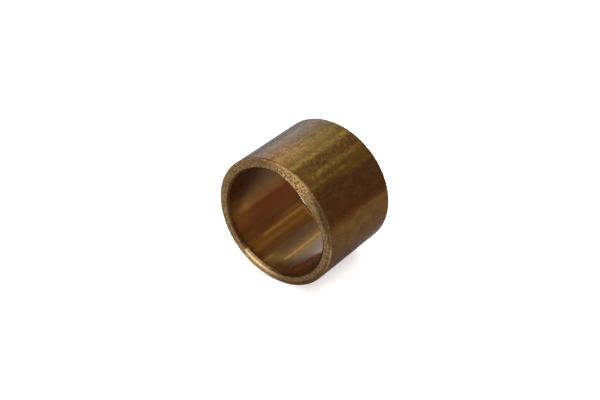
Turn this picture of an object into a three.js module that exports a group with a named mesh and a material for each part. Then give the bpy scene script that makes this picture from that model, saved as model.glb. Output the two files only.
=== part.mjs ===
// Plain bronze sleeve bushing, one turned piece.
// Millimetres, +Z up. The bore's axis is +Y and the bushing lies on its side.
// The origin is the middle of the bore: on its axis, halfway between the two end faces.
import * as THREE from "three";

// Driving dimensions
const BORE_D = 25; // runs on a 25 mm shaft
const OUTER_D = 30; // pressed into a 30 mm housing
const LENGTH = 21; // over the end faces
const OUTER_CHAMFER = 0.3; // 45 degrees, lead-in for pressing the bushing home
const BORE_CHAMFER = 0.3; // 45 degrees, lead-in for the shaft
const ROUND_SEGMENTS = 96;

const BRONZE_COLOR = 0x7d5f33;
const BRONZE_ROUGHNESS = 0.42;
const BRONZE_METALNESS = 1.0;

// The section through the wall as (radius, place along the axis), closed on itself.
function wallProfile() {
  const boreR = BORE_D / 2;
  const outerR = OUTER_D / 2;
  const endY = LENGTH / 2;
  const corners = [
    [boreR, -endY + BORE_CHAMFER],
    [boreR + BORE_CHAMFER, -endY],
    [outerR - OUTER_CHAMFER, -endY],
    [outerR, -endY + OUTER_CHAMFER],
    [outerR, endY - OUTER_CHAMFER],
    [outerR - OUTER_CHAMFER, endY],
    [boreR + BORE_CHAMFER, endY],
    [boreR, endY - BORE_CHAMFER],
  ];
  return [...corners, corners[0]].map(([r, y]) => new THREE.Vector2(r, y));
}

// The first corner of the round starts half a segment past +Z, which puts a flat facet, not an edge,
// at the bottom where the bushing lies.
function sleeveGeometry() {
  const firstCorner = Math.PI / ROUND_SEGMENTS;
  return new THREE.LatheGeometry(wallProfile(), ROUND_SEGMENTS, firstCorner);
}

function bronze() {
  return new THREE.MeshStandardMaterial({
    color: BRONZE_COLOR,
    roughness: BRONZE_ROUGHNESS,
    metalness: BRONZE_METALNESS,
  });
}

const bushing = new THREE.Group();
const sleeve = new THREE.Mesh(sleeveGeometry(), bronze());
sleeve.name = "bushing_sleeve";
bushing.add(sleeve);

export default bushing;
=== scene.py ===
# The visual model of a bronze sleeve bushing, around its CAD frame.
# Metres, +Z up. The bore's axis is +Y; the front end face is at -Y and the bushing lies on its side.
import math

import bpy
import numpy as np
from mathutils import Matrix, Vector, noise

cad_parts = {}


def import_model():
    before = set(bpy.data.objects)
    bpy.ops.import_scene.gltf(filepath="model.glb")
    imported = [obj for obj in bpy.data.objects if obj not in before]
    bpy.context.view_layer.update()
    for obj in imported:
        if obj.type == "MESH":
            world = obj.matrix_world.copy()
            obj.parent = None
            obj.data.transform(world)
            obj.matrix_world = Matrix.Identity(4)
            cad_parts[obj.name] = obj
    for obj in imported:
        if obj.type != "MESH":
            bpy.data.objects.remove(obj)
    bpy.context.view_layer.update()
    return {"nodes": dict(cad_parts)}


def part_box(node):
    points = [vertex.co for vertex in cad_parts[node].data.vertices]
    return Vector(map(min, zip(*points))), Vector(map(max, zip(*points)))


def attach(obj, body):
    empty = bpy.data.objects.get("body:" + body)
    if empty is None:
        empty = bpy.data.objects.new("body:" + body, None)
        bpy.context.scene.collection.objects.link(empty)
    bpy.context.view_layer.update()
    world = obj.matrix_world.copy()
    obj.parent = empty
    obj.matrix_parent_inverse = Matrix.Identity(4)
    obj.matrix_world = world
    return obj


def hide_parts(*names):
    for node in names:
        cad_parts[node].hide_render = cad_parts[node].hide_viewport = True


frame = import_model()

MM = 0.001

# Sizes from the frame
SLEEVE = frame["nodes"]["bushing_sleeve"]
LOW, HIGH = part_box("bushing_sleeve")
RADII = [math.hypot(v.co.x, v.co.z) for v in SLEEVE.data.vertices]
OUTER_R = max(RADII)
BORE_R = min(RADII)
MIDDLE_R = (OUTER_R + BORE_R) / 2
HALF_LENGTH = (HIGH.y - LOW.y) / 2
CENTRE = (LOW + HIGH) / 2

# Zones of the surface, in the order of the material slots, and those of them at the ends
SLOTS = ("outer", "face", "bore", "edge", "mouth")
ENDS = ("face", "edge", "mouth")

# Edge breaks
CHAMFER = 0.3 * MM
EDGE_ROUND = 0.45  # 0 is a flat 45 degree chamfer, 1 a full quarter round

# Mesh density
STEPS_ROUND = 720
FACE_ROWS = 16
OUTER_ROWS = 54
BORE_ROWS = 24
EDGE_ROWS = 5

# Surface relief, as depths below the nominal surface
GRAIN_DEPTH = {
    "outer": 0.006 * MM,
    "face": 0.045 * MM,
    "bore": 0.002 * MM,
    "edge": 0.05 * MM,
    "mouth": 0.04 * MM,
}
GRAIN_SIZE = 0.34 * MM
WAVE_DEPTH = 0.012 * MM
WAVE_SIZE = 2.6 * MM
RANDOM_SEED = 11
NICKS_PER_EDGE = 26
NICK_SIZE = (0.25, 0.6)  # smallest and largest, mm
NICK_DEPTH = (0.04, 0.13)

# Flaws of the ends. Each is centred on an angle round the bore, 0 at +X and 90 degrees on top, and it fades
# out within its spread.
LIPS = (  # ragged burrs that stand into the bore's mouths: end (-1 front, 1 back), angle, spread, reach
    (-1, math.radians(46), math.radians(46), 1.36 * MM),
    (1, math.radians(225), math.radians(48), 0.63 * MM),
)
LIP_DEPTH = 0.7 * MM
LIP_ON_FACE = 1.4 * MM
LIP_TAPER = 1.5  # how sharply it narrows with depth
LIP_FILLS = 0.7  # how much of the chamfer it fills
LIP_RAGGED = 0.1 * MM
RAGGED_SIZE = 0.55 * MM
SHOULDER_TURN = math.radians(24)  # the front face's outer half falls away here, and painted shade darkens it
SHOULDER_SPREAD = math.radians(38)
SHOULDER_DROP = 0.16 * MM
SHOULDER_START = 0.85  # where its faint ends start, as a share of the way from mid-wall to the outside
SHOULDER_WIDENS = 1.15  # and how much further in it starts at its middle
SHOULDER_EDGE = 0.5 * MM  # how wide its slope is
FACE_FALL = 0.06 * MM  # how far each end face falls away towards its two edges
MOUTH_FALL = 0.08 * MM  # and how much further it falls towards the bore
MOUTH_START = 1.2 * MM
MOUTH_WORN = 0.2 * MM  # and how far its corner is worn outwards, where no burr stands

# Marks on the surface: stains, and painted light and shade
RIM_TURN = math.radians(308)  # the front face's outermost ring is darkened here by a painted shadow
RIM_SPREAD = math.radians(62)
RIM_WIDTH = 1.25 * MM
MOUTH_SHADOW_TURN = math.radians(210)  # and its mouth's inner edge is darkened here by painted shade
MOUTH_SHADOW_SPREAD = math.radians(110)
MOUTH_SHADOW_WIDTH = 0.6 * MM
POLISH_HIGHLIGHT_FROM = math.radians(231)  # the front mouth is smoother, and brightened with a painted highlight, from here
POLISH_HIGHLIGHT_FULL = math.radians(234)
POLISH_HIGHLIGHT_FADES = math.radians(250)
POLISH_HIGHLIGHT_TO = math.radians(285)
POLISH_HIGHLIGHT_WIDTH = 1.5 * MM
GRAIN_GLINT_TURN = math.radians(70)  # the front face's grains are coarser here, and carry painted glints
GRAIN_GLINT_SPREAD = math.radians(34)
PAINTED_STREAKS = [
    (zone, math.radians(turn), math.radians(half_width), low * MM, high * MM, strength)
    for zone, turn, half_width, low, high, strength in (
        # painted reflection streaks along the wall, in gold: degrees, degrees, from y mm, to y mm
        ("bore", 231.5, 3.0, -4.6, 11, 0.75),
        ("bore", 253.5, 2.4, -11, -7.2, 1.0),
        ("bore", 226.5, 3.0, 3, 11, 0.35),
        ("bore", 266.5, 2.2, -8, 11, 0.35),
        ("outer", 74.5, 3.8, -11, 11, 0.85),
        ("outer", 59.5, 4.2, -8, 11, 0.85),
        ("outer", 67, 6, -11, 11, 0.35),
        ("outer", 52, 2.5, -11, 4, 0.7),
        ("outer", 47, 3.0, 0, 11, 0.5),
        ("outer", 84, 7.5, -8, 8, 0.35),
    )
]
STREAK_END = 0.8 * MM  # how fast a painted streak fades at its ends
STAINS = [
    (kind, zone, math.radians(turn), math.radians(spread), y_middle * MM, reach * MM)
    for kind, zone, turn, spread, y_middle, reach in (
        # broad stains, painted shade, and a dull film carrying a painted reflection: degrees, degrees, y of
        # the middle in mm, reach along y in mm
        ("rust", "outer", 21, 14, 0, 30),
        ("rust", "outer", 97, 17, -9, 9),
        ("rust", "outer", 330, 26, 0, 30),
        ("rust", "bore", 205, 11, 4, 20),
        ("shade", "bore", 255.5, 12, 4, 15),
        ("shade", "bore", 168, 34, 1, 16),
        ("film_and_reflection", "bore", 279, 15, 5, 18),
        ("rust", "bore", 292, 22, -8, 9),
        ("gilt", "bore", 264, 18, -11, 6),
        ("gilt", "bore", 197, 22, -11, 8),
        ("gilt", "outer", 90, 15, -7, 10),
    )
]

# Camera: where the viewer stands around the bushing
VIEW_AZIMUTH = math.radians(37.72)
VIEW_ELEVATION = math.radians(34.0)
VIEW_DISTANCE = 267.4 * MM
VIEW_RIGHT = -0.925 * MM  # the view's middle lies this far right of the bushing's middle
VIEW_UP = 0.24 * MM
LENS = 74.5


def direction(azimuth, elevation):
    """Unit vector from the bushing to a place at that azimuth (0 in front of the -Y face) and elevation."""
    flat = math.cos(elevation)
    return Vector((math.sin(azimuth) * flat, -math.cos(azimuth) * flat, math.sin(elevation)))


# ---------------------------------------------------------------- shape


def edge_break(corner, start, end):
    """Points from start to end round a corner of the section, between a chamfer and a quarter round."""
    centre = start + end - corner
    for i in range(EDGE_ROWS + 1):
        share = i / EDGE_ROWS
        flat = start.lerp(end, share)
        angle = share * math.pi / 2
        bent = centre + (start - centre) * math.cos(angle) + (end - centre) * math.sin(angle)
        yield flat.lerp(bent, EDGE_ROUND)


def straight(start, end, rows, bunched):
    """Points strictly between start and end, evenly spaced or, where bunched, closer towards both ends."""
    shares = [i / rows for i in range(1, rows)]
    if bunched:
        shares = [(1 - math.cos(math.pi * s)) / 2 for s in shares]
    return [start.lerp(end, s) for s in shares]


def section():
    """The wall's section as [(zone, (radius, y))], in order round it. Each zone names the strip that starts
    at its point."""
    front, back = -HALF_LENGTH, HALF_LENGTH
    sides = [
        ("outer", OUTER_ROWS, Vector((OUTER_R, front)), Vector((OUTER_R, back))),
        ("face", FACE_ROWS, Vector((OUTER_R, back)), Vector((BORE_R, back))),
        ("bore", BORE_ROWS, Vector((BORE_R, back)), Vector((BORE_R, front))),
        ("face", FACE_ROWS, Vector((BORE_R, front)), Vector((OUTER_R, front))),
    ]
    points = []
    for i, (zone, rows, start, end) in enumerate(sides):
        along = (end - start).normalized()
        first, last = start + along * CHAMFER, end - along * CHAMFER
        following = sides[(i + 1) % len(sides)]
        turn = (following[3] - following[2]).normalized()
        strips = [zone] * rows
        if zone == "bore":  # its first and last strips look like the mouths
            strips[0] = strips[-1] = "mouth"
        points += zip(strips, [first] + straight(first, last, rows, zone == "bore"))
        corner = "edge" if end.x > MIDDLE_R else "mouth"
        points += [(corner, p) for p in edge_break(end, last, end + turn * CHAMFER)][:-1]
    return points


def section_normals(points):
    """Outward unit normals of the section at its points."""
    count = len(points)
    normals = []
    for i in range(count):
        chord = points[(i + 1) % count] - points[i - 1]
        normals.append(Vector((chord.y, -chord.x)).normalized())
    return normals


def grain(point):
    """Rough grain, 0 to about 1, of pits and grains a few tenths of a millimetre across."""
    coarse = noise.noise(point / GRAIN_SIZE)
    fine = noise.noise(point / GRAIN_SIZE * 2.3 + Vector((7, 3, 5)))
    return min(1.0, max(0.0, 0.5 + 0.75 * coarse + 0.4 * fine))


def wave(point):
    """Slow unevenness of the surface, 0 to 1."""
    return 0.5 + 0.5 * noise.noise(point / WAVE_SIZE)


def near(turn, middle, spread):
    """1 at the angle middle, falling smoothly to 0 at spread away from it."""
    away = abs((turn - middle + math.pi) % (2 * math.pi) - math.pi) / spread
    return (1 - away * away) ** 2 if away < 1 else 0.0


def step_up(value, low, high):
    """0 up to low, 1 from high on, and smooth between them."""
    share = min(1.0, max(0.0, (value - low) / (high - low)))
    return share * share * (3 - 2 * share)


def lip(radius, y, turn):
    """(radius, y) after the burrs in the bore's mouths have pulled it inwards."""
    for end, middle, spread, reach in LIPS:
        share = near(turn, middle, spread)
        depth = HALF_LENGTH - y * end
        if not share or depth > LIP_DEPTH or radius > BORE_R + LIP_ON_FACE:
            continue
        on_circle = Vector((math.cos(turn), math.sin(turn), end)) * (BORE_R / RAGGED_SIZE)
        ragged = noise.noise(on_circle) + 0.6 * noise.noise(on_circle * 2.7)
        inwards = reach * share + LIP_RAGGED * ragged * math.sqrt(share)
        radius -= inwards * (1 - depth / LIP_DEPTH) ** LIP_TAPER * (1 - (radius - BORE_R) / LIP_ON_FACE)
        y += end * LIP_FILLS * share * depth * math.exp(-((depth / CHAMFER) ** 2))
    return radius, y


def shoulder(radius, y, turn):
    """How far a place on the front face lies in the fallen outer half, 0 to 1."""
    share = near(turn, SHOULDER_TURN, SHOULDER_SPREAD)
    start = MIDDLE_R + (OUTER_R - MIDDLE_R) * (SHOULDER_START - SHOULDER_WIDENS * share)
    return step_up(radius, start, start + SHOULDER_EDGE) * math.sqrt(share) if y < 0 else 0.0


def dark_rim(radius, turn):
    """How far a painted shadow darkens the front face's outermost ring, 0 to 1."""
    return near(turn, RIM_TURN, RIM_SPREAD) * step_up(radius, OUTER_R - RIM_WIDTH, OUTER_R - RIM_WIDTH / 2)


def burr(y, turn):
    """How much of the end's burr stands at this angle, 0 to 1."""
    return max(near(turn, middle, spread) for end, middle, spread, _ in LIPS if end * y > 0)


def face_fall(radius, y, turn):
    """How far an end face lies below its plane at a place."""
    fall = FACE_FALL * abs((radius - MIDDLE_R) / (OUTER_R - MIDDLE_R)) ** 3
    into_bore = max(0.0, 1 - (radius - BORE_R) / MOUTH_START)
    return fall + MOUTH_FALL * into_bore**2 * (1 - burr(y, turn))


def mouth_wear(radius, y, turn):
    """How far outwards the mouth's corner is worn: most where chamfer and face meet, and none in the bore or
    well out on the face."""
    in_chamfer = (radius - BORE_R) / CHAMFER
    on_face = 1 - (radius - BORE_R - CHAMFER) / MOUTH_START
    return MOUTH_WORN * (1 - burr(y, turn)) * max(0.0, min(in_chamfer, on_face))


def flawed(zone, radius, y, turn):
    """(radius, y) of a point of the section once the flaws of the ends are in."""
    if zone in ENDS:
        fall = face_fall(radius, y, turn) + SHOULDER_DROP * shoulder(radius, y, turn)
        radius += mouth_wear(radius, y, turn)
        y -= math.copysign(fall, y)
    return lip(radius, y, turn)


def polish_and_highlight(radius, turn):
    """How smooth the front mouth is, and how strong its painted highlight, 0 to 1."""
    along = step_up(turn, POLISH_HIGHLIGHT_FROM, POLISH_HIGHLIGHT_FULL) * (1 - step_up(turn, POLISH_HIGHLIGHT_FADES, POLISH_HIGHLIGHT_TO))
    return along * (1 - step_up(radius - BORE_R, POLISH_HIGHLIGHT_WIDTH / 2, POLISH_HIGHLIGHT_WIDTH))


def stain(kind, zone, y, turn):
    """How strong the broad stains of one kind are at a place."""
    found = 0.0
    for what, where, middle, spread, y_middle, reach in STAINS:
        if (what, where) == (kind, zone):
            found += near(turn, middle, spread) * max(0.0, 1 - ((y - y_middle) / reach) ** 2)
    return found


def painted_streaks(zone, y, turn):
    """How strong the painted reflection streaks are at a place."""
    found = 0.0
    for where, middle, half_width, start, end, strength in PAINTED_STREAKS:
        if where == zone:
            begun = step_up(y, start - STREAK_END, start + STREAK_END)
            along = begun * step_up(-y, -end - STREAK_END, STREAK_END - end)
            found += strength * along * near(turn, middle, half_width)
    return found


def mouth_shadow(radius, turn):
    """How much painted shade darkens the front mouth's inner edge, 0 to 1: less where its painted highlight
    is.
    """
    inner = 1 - step_up(radius - BORE_R, MOUTH_SHADOW_WIDTH / 2, MOUTH_SHADOW_WIDTH)
    return inner * near(turn, MOUTH_SHADOW_TURN, MOUTH_SHADOW_SPREAD) * (1 - polish_and_highlight(radius, turn))


def marks(zone, radius, y, turn):
    """The strength of each kind of mark at a place, as the materials read them."""
    front = zone in ENDS and y < 0
    # painted shade darkens the fallen shoulder, the outermost ring and the mouth's inner edge
    dark = max(shoulder(radius, y, turn), dark_rim(radius, turn), mouth_shadow(radius, turn)) if front else 0.0
    return {
        "painted_shade": dark,
        "polish_and_highlight": polish_and_highlight(radius, turn) if front and zone != "edge" else 0.0,
        "grain_and_glint": near(turn, GRAIN_GLINT_TURN, GRAIN_GLINT_SPREAD) if front else 0.0,
        "rust": stain("rust", zone, y, turn),
        "painted_streaks": painted_streaks(zone, y, turn),
        "shade": stain("shade", zone, y, turn),
        "film_and_reflection": stain("film_and_reflection", zone, y, turn),
        "gilt": stain("gilt", zone, y, turn),
    }


def nick_places(random):
    """Small dents on the four edges as (centre, size, depth)."""
    places = []
    for radius, end in ((OUTER_R, -1), (OUTER_R, 1), (BORE_R, -1), (BORE_R, 1)):
        for turn in random.uniform(0, 2 * math.pi, NICKS_PER_EDGE):
            centre = Vector((radius * math.cos(turn), end * HALF_LENGTH, radius * math.sin(turn)))
            size = random.uniform(*NICK_SIZE) * MM
            places.append((centre, size, random.uniform(*NICK_DEPTH) * MM))
    return places


def press_nicks(positions, normals, places):
    """Pushes the surface in around each nick, as a smooth bowl."""
    for centre, size, depth in places:
        away = np.linalg.norm(positions - np.array(centre), axis=1) / size
        bowl = np.clip(1 - away * away, 0, 1) ** 2
        positions -= normals * (bowl * depth)[:, None]


def skin(zones, points):
    """The sleeve's points, row after row round the bore, and the marks at each of them."""
    normals = section_normals(points)
    positions, directions, relief, marked = [], [], [], []
    for k in range(STEPS_ROUND):
        turn = 2 * math.pi * k / STEPS_ROUND
        out = Vector((math.cos(turn), 0, math.sin(turn)))
        for zone, point, normal in zip(zones, points, normals):
            radius, y = flawed(zone, point.x, point.y, turn)
            place = out * radius + Vector((0, y, 0))
            positions.append(place)
            marked.append(marks(zone, point.x, point.y, turn))
            directions.append(out * normal.x + Vector((0, normal.y, 0)))
            relief.append(GRAIN_DEPTH[zone] * grain(place) + WAVE_DEPTH * wave(place))
    positions, directions = np.array(positions), np.array(directions)
    positions -= directions * np.array(relief)[:, None]
    press_nicks(positions, directions, nick_places(np.random.default_rng(RANDOM_SEED)))
    return positions, marked


def sleeve_quads(zones):
    """The quads between the rows, and the material slot of each."""
    rows = len(zones)
    quads, slots = [], []
    for k in range(STEPS_ROUND):
        here, there = k * rows, (k + 1) % STEPS_ROUND * rows
        for i, zone in enumerate(zones):
            j = (i + 1) % rows
            quads.append((here + i, there + i, there + j, here + j))
            slots.append(SLOTS.index(zone))
    return quads, slots


def sleeve_mesh():
    """The whole sleeve: its skin, a material for each zone, and the marks as attributes."""
    zones, points = zip(*section())
    positions, marked = skin(zones, points)
    quads, slots = sleeve_quads(zones)
    mesh = bpy.data.meshes.new("sleeve")
    mesh.from_pydata(positions.tolist(), [], quads)
    mesh.polygons.foreach_set("material_index", slots)
    mesh.polygons.foreach_set("use_smooth", [True] * len(quads))
    for kind in marked[0]:
        mesh.attributes.new(kind, "FLOAT", "POINT").data.foreach_set("value", [m[kind] for m in marked])
    mesh.validate()
    return mesh


# ---------------------------------------------------------------- materials


class Nodes:
    """Short calls for building one material's nodes."""

    def __init__(self, name):
        self.material = bpy.data.materials.new(name)
        self.material.use_nodes = True
        self.tree = self.material.node_tree
        self.shader = self.tree.nodes["Principled BSDF"]
        self.place = self.scaled(self.new("ShaderNodeTexCoord").outputs["Object"], (1 / MM,) * 3)

    def new(self, kind, **settings):
        node = self.tree.nodes.new(kind)
        for key, value in settings.items():
            setattr(node, key, value)
        return node

    def feed(self, value, socket):
        if isinstance(value, bpy.types.NodeSocket):
            self.tree.links.new(value, socket)
        else:
            socket.default_value = value

    def scaled(self, vector, factors):
        node = self.new("ShaderNodeVectorMath", operation="MULTIPLY")
        self.feed(vector, node.inputs[0])
        node.inputs[1].default_value = factors
        return node.outputs[0]

    def noise(self, size, detail=2.0, roughness=0.5, stretch=(1, 1, 1), offset=0.0):
        """Noise, 0 to 1, with features about size millimetres across, longer where stretch is over 1."""
        node = self.new("ShaderNodeTexNoise", noise_dimensions="4D")
        self.feed(self.scaled(self.place, tuple(1 / s for s in stretch)), node.inputs["Vector"])
        node.inputs["W"].default_value = offset
        node.inputs["Scale"].default_value = 1 / size
        node.inputs["Detail"].default_value = detail
        node.inputs["Roughness"].default_value = roughness
        return node.outputs["Fac"]

    def span(self, value, low, high, to_low=0.0, to_high=1.0):
        """value from low..high to to_low..to_high, smooth and clamped."""
        node = self.new("ShaderNodeMapRange", interpolation_type="SMOOTHSTEP")
        for socket, number in zip(("Value", "From Min", "From Max", "To Min", "To Max"),
                                  (value, low, high, to_low, to_high)):
            self.feed(number, node.inputs[socket])
        return node.outputs["Result"]

    def math(self, operation, a, b=0.0, c=0.0):
        node = self.new("ShaderNodeMath", operation=operation)
        for socket, number in zip(node.inputs, (a, b, c)):
            self.feed(number, socket)
        return node.outputs[0]

    def mix(self, share, a, b):
        node = self.new("ShaderNodeMix", data_type="RGBA")
        self.feed(share, node.inputs["Factor"])
        self.feed(a if not isinstance(a, tuple) else (*a, 1), node.inputs["A"])
        self.feed(b if not isinstance(b, tuple) else (*b, 1), node.inputs["B"])
        return node.outputs["Result"]

    def over(self, color, tint, share, amount):
        """color with tint laid over it, by share times amount."""
        return self.mix(self.math("MULTIPLY", share, amount), color, tint)

    def bump(self, height, distance, strength=1.0):
        node = self.new("ShaderNodeBump")
        self.feed(height, node.inputs["Height"])
        self.feed(strength, node.inputs["Strength"])
        node.inputs["Distance"].default_value = distance
        return node.outputs["Normal"]

    def attribute(self, name):
        return self.new("ShaderNodeAttribute", attribute_name=name).outputs["Fac"]

    def finish(self, color, roughness, normal, anisotropic=0.0, metallic=1.0):
        inputs = self.shader.inputs
        self.feed(color, inputs["Base Color"])
        self.feed(roughness, inputs["Roughness"])
        self.feed(normal, inputs["Normal"])
        inputs["Metallic"].default_value = metallic
        inputs["Specular Tint"].default_value = (*GRAZING, 1)
        if anisotropic:
            inputs["Anisotropic"].default_value = anisotropic
            inputs["Anisotropic Rotation"].default_value = QUARTER_TURN
            tangent = self.new("ShaderNodeTangent", direction_type="RADIAL", axis="Y")
            self.feed(tangent.outputs[0], inputs["Tangent"])
        return self.material


QUARTER_TURN = 0.25  # turns the stretch of the highlights from round the bore to along it

# Colours of the metal, and of the light and shade painted on it
BROWN = (0.125, 0.06, 0.02)
BRONZE = (0.165, 0.088, 0.03)
GOLD = (0.225, 0.14, 0.031)
OXIDE = (0.03, 0.016, 0.007)
PALE_BRONZE = (0.56, 0.385, 0.2)
CUT_BRONZE = (0.25, 0.155, 0.07)
# painted highlight on the front mouth
RUBBED_HIGHLIGHT = (0.95, 0.73, 0.48)
# painted glints on the front face's grains
PAINTED_GLINT = (0.95, 0.72, 0.36)
# painted shade on the front face
SHADE_OLIVE = (0.09, 0.06, 0.028)
RUSSET = (0.26, 0.072, 0.019)
# painted shade in the bore
UMBER = (0.07, 0.035, 0.018)
# painted reflection streaks
STREAK_GOLD = (0.4, 0.245, 0.05)
# gold of the bore's tint and of its painted reflection streaks
BORE_GOLD = (0.4, 0.22, 0.05)
# a dull film with the lilac-grey of a painted reflection
FILM_REFLECTION = (0.21, 0.12, 0.06)
AMBER = (0.42, 0.21, 0.07)
COPPER = (0.19, 0.072, 0.015)
COPPER_LIGHT = (0.23, 0.10, 0.02)
# painted shade of the mouth chamfers
SHADED_MOUTH = (0.06, 0.026, 0.011)
SHADED_MOUTH_LIGHT = (0.11, 0.05, 0.02)
GRAZING = (0.56, 0.56, 0.58)  # what is left of the white sheen at grazing angles


def outer_material():
    n = Nodes("bronze_outside")
    cloud = n.span(n.noise(3.2, 3, 0.6), 0.35, 0.66)
    blotch = n.span(n.noise(1.3, 3, 0.62, stretch=(1, 2.6, 1), offset=3), 0.44, 0.66)
    speck = n.span(n.noise(0.3, 3, 0.65, offset=5), 0.34, 0.66)
    color = n.mix(cloud, BROWN, BRONZE)
    color = n.over(color, GOLD, blotch, 0.45)
    color = n.over(color, BROWN, speck, 0.5)
    color = n.over(color, RUSSET, n.attribute("rust"), 0.3)
    patchy = n.span(n.noise(0.75, 3, 0.6, stretch=(1, 1.8, 1), offset=21), 0.4, 0.62, 0.12, 0.62)
    color = n.over(color, AMBER, n.attribute("gilt"), patchy)
    # painted reflection streaks
    color = n.over(color, STREAK_GOLD, n.attribute("painted_streaks"), patchy)
    pits = n.span(n.noise(0.45, 2, 0.6, offset=9), 0.3, 0.41, 1, 0)
    color = n.over(color, OXIDE, pits, 0.55)
    roughness = n.span(n.noise(0.7, 3, 0.6, offset=2), 0.3, 0.7, 0.17, 0.32)
    normal = n.bump(n.noise(0.32, 3, 0.6, offset=4), 0.022 * MM)
    return n.finish(color, roughness, normal, anisotropic=0.8)


def face_material():
    n = Nodes("bronze_end_face")
    grains = n.span(n.noise(0.42, 3, 0.7, offset=1), 0.38, 0.62)
    patches = n.span(n.noise(1.5, 2, 0.5, offset=6), 0.35, 0.65)
    color = n.mix(grains, CUT_BRONZE, PALE_BRONZE)
    color = n.over(color, CUT_BRONZE, patches, 0.3)
    pits = n.span(n.noise(0.45, 1, 0.5, offset=12), 0.3, 0.4, 1, 0)
    color = n.over(color, OXIDE, pits, n.span(n.attribute("grain_and_glint"), 0, 0.6, 0.15, 0.8))
    # painted glints on the grains
    glint_specks = n.span(n.noise(0.36, 2, 0.6, offset=15), 0.52, 0.64)
    color = n.over(color, PAINTED_GLINT, glint_specks, n.attribute("grain_and_glint"))
    # painted shade on the shoulder, the outermost ring and the mouth's inner edge
    color = n.over(color, SHADE_OLIVE, n.attribute("painted_shade"), 0.75)
    # painted highlight on the mouth, where the roughness is lowered too
    color = n.over(color, RUBBED_HIGHLIGHT, n.attribute("polish_and_highlight"), 0.9)
    dull = n.span(n.noise(0.3, 2, 0.6, offset=2), 0.3, 0.7, 0.6, 0.8)
    roughness = n.math("MULTIPLY_ADD", n.attribute("polish_and_highlight"), -0.32, dull)
    coarse = n.span(n.attribute("grain_and_glint"), 0, 0.6, 0.5, 1.0)
    normal = n.bump(n.noise(0.38, 3, 0.65, offset=4), 0.11 * MM, coarse)
    return n.finish(color, roughness, normal, anisotropic=0.9)


def edge_material():
    n = Nodes("bronze_worn_edge")
    grains = n.span(n.noise(0.3, 3, 0.65, offset=1), 0.36, 0.64)
    color = n.mix(grains, CUT_BRONZE, PALE_BRONZE)
    # painted shade
    color = n.over(color, SHADE_OLIVE, n.attribute("painted_shade"), 0.75)
    # painted highlight
    color = n.over(color, RUBBED_HIGHLIGHT, n.attribute("polish_and_highlight"), 0.6)
    roughness = n.span(n.noise(0.3, 2, 0.6, offset=2), 0.3, 0.7, 0.4, 0.6)
    normal = n.bump(n.noise(0.26, 3, 0.65, offset=4), 0.06 * MM)
    return n.finish(color, roughness, normal, anisotropic=0.7)


def bore_material():
    n = Nodes("bronze_bore")
    cloud = n.span(n.noise(4.0, 2, 0.5, stretch=(1, 3, 1)), 0.3, 0.7)
    streak = n.span(n.noise(0.8, 2, 0.5, stretch=(1, 12, 1), offset=3), 0.42, 0.75)
    color = n.mix(cloud, COPPER, COPPER_LIGHT)
    color = n.over(color, GOLD, streak, 0.25)
    color = n.over(color, RUSSET, n.attribute("rust"), 0.9)
    # painted shade darkens parts of the bore
    color = n.over(color, UMBER, n.attribute("shade"), 0.62)
    # a dull film, coloured as a painted reflection
    color = n.over(color, FILM_REFLECTION, n.attribute("film_and_reflection"), 0.9)
    color = n.over(color, BORE_GOLD, n.attribute("gilt"), 0.6)
    # painted reflection streaks
    color = n.mix(n.attribute("painted_streaks"), color, BORE_GOLD)
    fine = n.span(n.noise(0.9, 2, 0.5, stretch=(1, 8, 1), offset=8), 0.3, 0.7, 0.13, 0.18)
    dull = n.math("MAXIMUM", n.attribute("shade"), n.attribute("film_and_reflection"))
    roughness = n.math("MULTIPLY_ADD", dull, 0.22, fine)
    normal = n.bump(n.noise(0.7, 2, 0.5, stretch=(1, 14, 1), offset=4), 0.005 * MM)
    return n.finish(color, roughness, normal, metallic=0.68)


def mouth_material():
    n = Nodes("bronze_mouth")
    grains = n.span(n.noise(0.35, 3, 0.65, offset=1), 0.34, 0.66)
    # painted shade: the mouth chamfers are coloured dark
    color = n.mix(grains, SHADED_MOUTH, SHADED_MOUTH_LIGHT)
    # painted highlight
    color = n.over(color, PALE_BRONZE, n.attribute("polish_and_highlight"), 0.3)
    roughness = n.span(n.noise(0.3, 2, 0.6, offset=2), 0.3, 0.7, 0.28, 0.42)
    normal = n.bump(n.noise(0.26, 3, 0.65, offset=4), 0.03 * MM)
    return n.finish(color, roughness, normal, anisotropic=0.7)


# ---------------------------------------------------------------- stage


WHITE_PAPER = (0.85, 0.85, 0.85)
DIM_PAPER = (0.26, 0.22, 0.19)
DIM_AZIMUTH = math.radians(130)  # the table is dim on this side, which shows as the dark band on the bushing
DIM_FROM = 72 * MM
DIM_TO = 108 * MM
FLOOR_GLOW = 0.08  # the table is lit from below a little
FLOOR_REACH = 3.0
# For camera rays the table is whitened, as the photograph's background is, so shadows on it stay faint
FLOOR_WHITENED = 0.66
NEAR_WHITENED = 0.42  # less close under the bushing, where its shadow is
DIM_WHITENED = 0.4  # and this much more where the table is dim, so that it looks plain
SHADOW_FROM = -6.0 * MM  # measured outwards from the bushing's outline on the table
SHADOW_TO = 2.0 * MM
SHADOW_SHIFT = 5.0 * MM  # and it lies this far towards -X


def floor_whitening(n):
    """How far the table is whitened, by how far a place lies outside the bushing's outline on it."""
    parts = n.new("ShaderNodeSeparateXYZ")
    n.feed(n.place, parts.inputs[0])
    across = n.math("ADD", parts.outputs["X"], SHADOW_SHIFT / MM)
    beside = n.math("SUBTRACT", n.math("ABSOLUTE", across), OUTER_R / MM)
    before = n.math("SUBTRACT", n.math("ABSOLUTE", parts.outputs["Y"]), HALF_LENGTH / MM)
    outside = n.math("MAXIMUM", beside, before)
    return n.span(outside, SHADOW_FROM / MM, SHADOW_TO / MM, NEAR_WHITENED, FLOOR_WHITENED)


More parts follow.
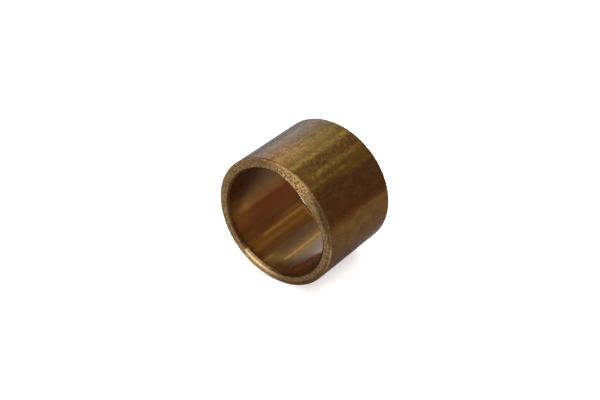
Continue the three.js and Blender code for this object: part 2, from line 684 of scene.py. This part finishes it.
def floor_material():
    n = Nodes("floor_white")
    away = n.new("ShaderNodeVectorMath", operation="DOT_PRODUCT")
    n.feed(n.place, away.inputs[0])
    away.inputs[1].default_value = direction(DIM_AZIMUTH, 0)
    dim = n.span(away.outputs["Value"], DIM_FROM / MM, DIM_TO / MM)
    n.feed(n.mix(dim, WHITE_PAPER, DIM_PAPER), n.shader.inputs["Base Color"])
    seen = n.new("ShaderNodeLightPath").outputs["Is Camera Ray"]
    whitened = n.math("MULTIPLY_ADD", dim, DIM_WHITENED, floor_whitening(n))
    n.feed(n.math("MULTIPLY_ADD", seen, whitened, FLOOR_GLOW), n.shader.inputs["Emission Strength"])
    n.shader.inputs["Emission Color"].default_value = (1, 1, 1, 1)
    n.shader.inputs["Roughness"].default_value = 0.7
    n.shader.inputs["Specular IOR Level"].default_value = 0.2
    return n.material


def floor():
    mesh = bpy.data.meshes.new("floor")
    corners = [(-1, -1), (1, -1), (1, 1), (-1, 1)]
    mesh.from_pydata([(x * FLOOR_REACH, y * FLOOR_REACH, -OUTER_R) for x, y in corners], [], [(0, 1, 2, 3)])
    piece = bpy.data.objects.new("floor", mesh)
    bpy.context.scene.collection.objects.link(piece)
    mesh.materials.append(floor_material())


STRIP_DISTANCE = 0.8
# The photograph's viewer stands at this angle round the bore
VIEW_TURN = math.atan2(math.sin(VIEW_ELEVATION), math.sin(VIEW_AZIMUTH) * math.cos(VIEW_ELEVATION))
WALLS = (0.42, 0.335, 0.33, 1)  # what the rest of the studio looks like in the metal
UP = Vector((0, 0, 1))
ALONG_BORE = Vector((0, 1, 0))


def soft_box(name, azimuth, elevation, distance, width, height, watts, color, upright=UP):
    """A rectangular studio light that faces the bushing, azimuth and elevation in degrees. Its height runs
    along upright, as seen from there."""
    data = bpy.data.lights.new(name, "AREA")
    data.shape = "RECTANGLE"
    data.size, data.size_y = width, height
    data.energy = watts
    data.color = color
    light = bpy.data.objects.new(name, data)
    away = direction(math.radians(azimuth), math.radians(elevation))
    across = upright.cross(away).normalized()
    light.location = CENTRE + away * distance
    light.rotation_euler = Matrix((across, away.cross(across), away)).transposed().to_euler()
    bpy.context.scene.collection.objects.link(light)


def strip(name, turn, along_from, along_to, width, watts, color):
    """A thin light that the photograph's viewer sees mirrored by the outside at the angle turn, in degrees,
    and by the bore opposite. Its ends are sines of their elevation along the bore's axis."""
    middle = (math.asin(along_from) + math.asin(along_to)) / 2
    length = 2 * STRIP_DISTANCE * math.tan(math.asin(along_to) - middle)
    across = 2 * math.radians(turn) - VIEW_TURN
    flat = math.cos(middle)
    away = Vector((math.cos(across) * flat, math.sin(middle), math.sin(across) * flat))
    azimuth, elevation = math.degrees(math.atan2(away.x, -away.y)), math.degrees(math.asin(away.z))
    soft_box(name, azimuth, elevation, STRIP_DISTANCE, width, length, watts, color, ALONG_BORE)


def lights():
    """Boxes by azimuth, elevation, distance, width, height and watts, and strips by turn, ends and width."""
    soft_box("overhead", 0, 88, 0.9, 1.2, 1.2, 5.1, (0.93, 1.0, 0.88))
    soft_box("left_back", 226, 13, 0.8, 0.6, 0.34, 2.5, (0.48, 0.69, 1.0))
    soft_box("left_high", 208, 42, 0.8, 0.4, 0.4, 0.51, (0.72, 1.0, 0.92))
    soft_box("key_front", -4, 22, 0.8, 0.36, 0.36, 1.8, (1.0, 0.97, 0.75))
    soft_box("right_high", 150, 40, 0.8, 0.18, 0.3, 0.042, (0.9, 1.0, 0.0))
    strip("strip_gold", 59.5, 0.58, 0.72, 0.08, 0.0125, (0.9, 1.0, 0.4))
    strip("strip_top", 86.3, 0.60, 0.72, 0.02, 0.015, (0.94, 1.0, 0.45))
    strip("strip_left", 92.5, 0.60, 0.72, 0.12, 0.0486, (0.51, 0.85, 1.0))


def world():
    made = bpy.data.worlds.new("studio")
    made.use_nodes = True
    background = made.node_tree.nodes["Background"]
    background.inputs["Color"].default_value = WALLS
    background.inputs["Strength"].default_value = 1.0
    bpy.context.scene.world = made


def camera():
    data = bpy.data.cameras.new("camera")
    data.lens = LENS
    made = bpy.data.objects.new("camera", data)
    away = direction(VIEW_AZIMUTH, VIEW_ELEVATION)
    right = Vector((math.cos(VIEW_AZIMUTH), math.sin(VIEW_AZIMUTH), 0))
    up = away.cross(right)
    middle = CENTRE + right * VIEW_RIGHT + up * VIEW_UP
    made.location = middle + away * VIEW_DISTANCE
    made.rotation_euler = away.to_track_quat("Z", "Y").to_euler()
    bpy.context.scene.collection.objects.link(made)
    bpy.context.scene.camera = made


def bushing():
    piece = bpy.data.objects.new("sleeve", sleeve_mesh())
    bpy.context.scene.collection.objects.link(piece)
    for material in (outer_material, face_material, bore_material, edge_material, mouth_material):
        piece.data.materials.append(material())
    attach(piece, "root")
    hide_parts("bushing_sleeve")


camera()
bushing()
floor()
lights()
world()
bpy.context.scene.view_settings.view_transform = "Standard"
